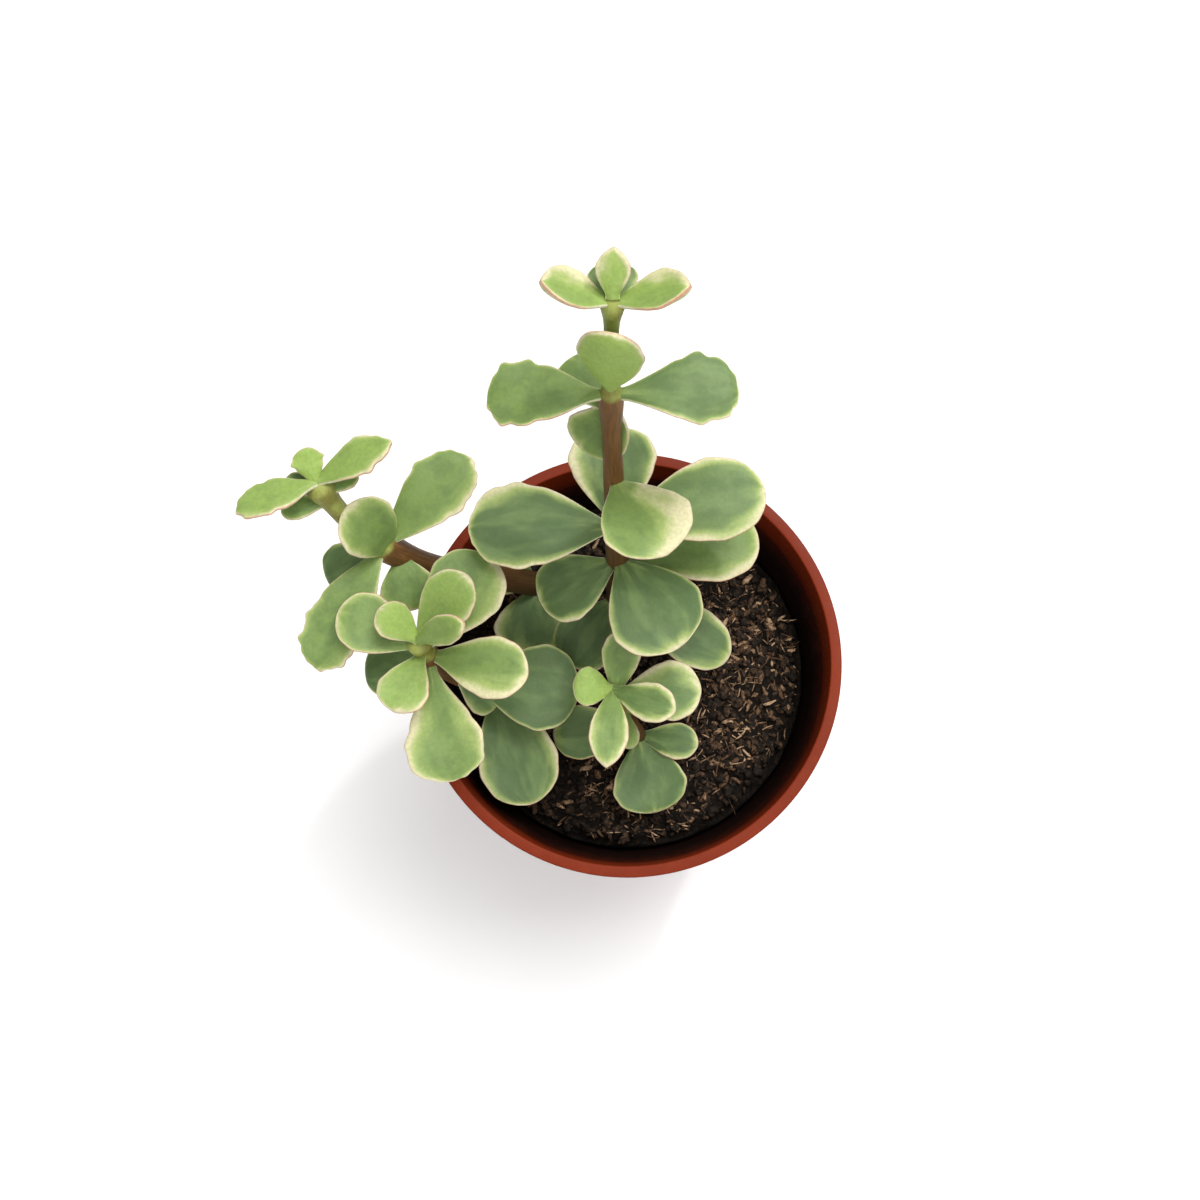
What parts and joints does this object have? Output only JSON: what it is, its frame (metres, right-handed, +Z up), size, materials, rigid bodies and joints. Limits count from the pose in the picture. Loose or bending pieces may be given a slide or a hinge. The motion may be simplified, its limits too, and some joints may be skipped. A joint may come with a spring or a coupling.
{
  "type": "potted elephant bush",
  "caption": "Young variegated elephant bush with leaning leafy stems, rooted in soil in a small round red-brown plastic nursery pot.",
  "frame": {"origin": "middle of the pot's underside, on the surface it stands on", "axes": "+Z up along the pot's axis; -Y towards the picture's lower edge, +X to its right"},
  "size_m": [0.1084, 0.0898, 0.1604],
  "materials": {
    "pot_plastic": "satin moulded red-brown plastic",
    "potting_soil": "damp dark peat with bark and fibre bits",
    "leaf_skin": "smooth waxy grey-green leaf with a cream margin and a thin pink edge",
    "stem_bark": "young brown bark, olive near the tips"
  },
  "bodies": {
    "root": {"pot": "pot_plastic", "soil": "potting_soil", "tall_stem": "leaf_skin", "left_stem": "leaf_skin", "middle_stem": "leaf_skin", "front_shoot": "leaf_skin"}
  },
  "joints": []
}
